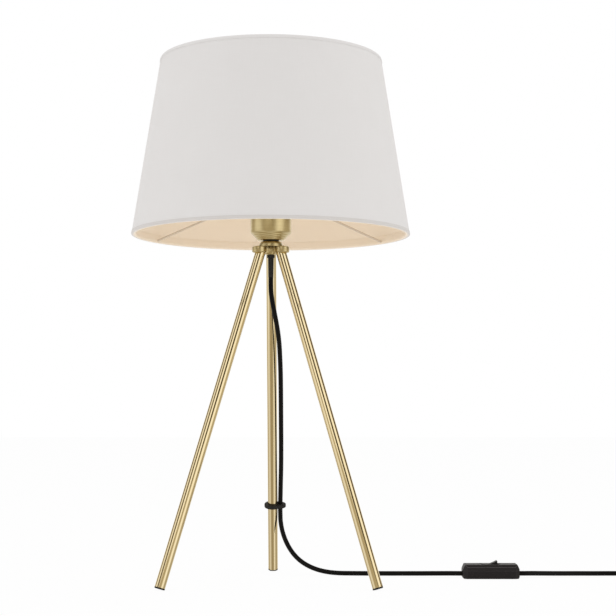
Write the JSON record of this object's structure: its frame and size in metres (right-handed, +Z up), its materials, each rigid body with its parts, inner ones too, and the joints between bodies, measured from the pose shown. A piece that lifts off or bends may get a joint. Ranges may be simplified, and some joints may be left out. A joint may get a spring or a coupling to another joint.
{
  "type": "tripod table lamp",
  "caption": "Table lamp on three slanted brass tubes with a tapered fabric drum shade, a screw-in globe bulb, and a lead with an in-line rocker switch and a flat two-pin plug.",
  "frame": {"origin": "on the floor, on the lamp's vertical axis, under the middle of the shade", "axes": "+Z up; -Y is the front, towards the side between the two front legs; +X is to the right seen from the front, where the lead runs"},
  "size_m": [0.6245, 0.2998, 0.562],
  "materials": {
    "satin_brass": "satin, brushed along the tubes",
    "bright_brass": "bright",
    "zinc_steel": "satin zinc",
    "nickel": "bright nickel",
    "black_plastic": "matt",
    "black_rubber": "matt",
    "black_cord": "satin flexible PVC",
    "charcoal_plastic": "matt, finely grained",
    "black_rocker": "satin",
    "ceramic": "glazed ceramic",
    "white_plastic": "matt",
    "white_wire": "off-white powder coat",
    "shade_fabric": "plain woven, off-white",
    "shade_liner": "smooth white film",
    "opal_glass": "opal, satin",
    "clear_glass": "clear",
    "filament": "phosphor-coated",
    "brown_core": "matt"
  },
  "bodies": {
    "stand": {"hub": "satin_brass", "dome_collar": "satin_brass", "insulating_washer": "black_plastic", "threaded_nipple": "zinc_steel", "lock_nut": "zinc_steel", "leg_front_left": "satin_brass", "leg_front_right": "satin_brass", "leg_back": "satin_brass", "leg_inserts": "bright_brass", "leg_studs": "zinc_steel", "foot_cap_front_left": "black_rubber", "foot_cap_front_right": "black_rubber", "foot_cap_back": "black_rubber", "cable_clip": "black_rubber", "cord_gland": "black_plastic", "core_wires": "brown_core", "holder_cup": "satin_brass", "terminal_block": "ceramic", "terminal_screws": "zinc_steel", "centre_contact": "bright_brass", "side_contact": "bright_brass", "screw_shell": "bright_brass", "holder_sleeve": "white_plastic", "switch_base": "charcoal_plastic", "switch_cover": "charcoal_plastic", "switch_contacts": "bright_brass", "switch_screws": "zinc_steel", "cord_lamp_side": "black_cord", "cord_plug_side": "black_cord", "cord_coil": "black_cord", "cord_tail": "black_cord", "coil_tie": "black_plastic", "plug_relief": "black_rubber", "plug_body": "black_rubber", "plug_pins": "nickel", "pin_sleeves": "black_plastic"},
    "shade": {"shade_fitter": "white_wire", "shade_spokes": "white_wire", "shade_low_wire": "white_wire", "shade_top_wire": "white_wire", "shade_liner": "shade_liner", "shade_fabric": "shade_fabric", "shade_low_hem": "shade_fabric", "shade_top_hem": "shade_fabric"},
    "ring": {"shade_ring": "white_plastic"},
    "bulb_carrier": {"bulb_tip": "nickel"},
    "bulb": {"bulb_globe": "opal_glass", "bulb_stem": "clear_glass", "bulb_filaments": "filament", "bulb_cap": "nickel", "bulb_insulator": "black_plastic"},
    "rocker": {"switch_rocker": "black_rocker", "switch_bridge": "bright_brass"}
  },
  "joints": [
    {"name": "shade_turn", "type": "hinge", "parent": "stand", "child": "shade", "pos_m": [0, 0, 0.41085], "axis": [0, 0, 1], "continuous": true},
    {"name": "ring_turn", "type": "hinge", "parent": "stand", "child": "ring", "pos_m": [0, 0, 0.416], "axis": [0, 0, 1], "range_deg": [0, 720]},
    {"name": "bulb_rise", "type": "slide", "parent": "stand", "child": "bulb_carrier", "axis": [0, 0, 1], "range_m": [0, 0.0182]},
    {"name": "bulb_turn", "type": "hinge", "parent": "bulb_carrier", "child": "bulb", "pos_m": [0, 0, 0.412], "axis": [0, 0, 1], "range_deg": [0, 1800]},
    {"name": "rocker_tilt", "type": "hinge", "parent": "stand", "child": "rocker", "pos_m": [0.24, 0.051, 0.0112], "axis": [0, 1, 0], "range_deg": [0, 24]}
  ],
  "couplings": [
    {"joint": "bulb_rise", "follows": "bulb_turn", "m_per_rad": 0.00057773}
  ]
}
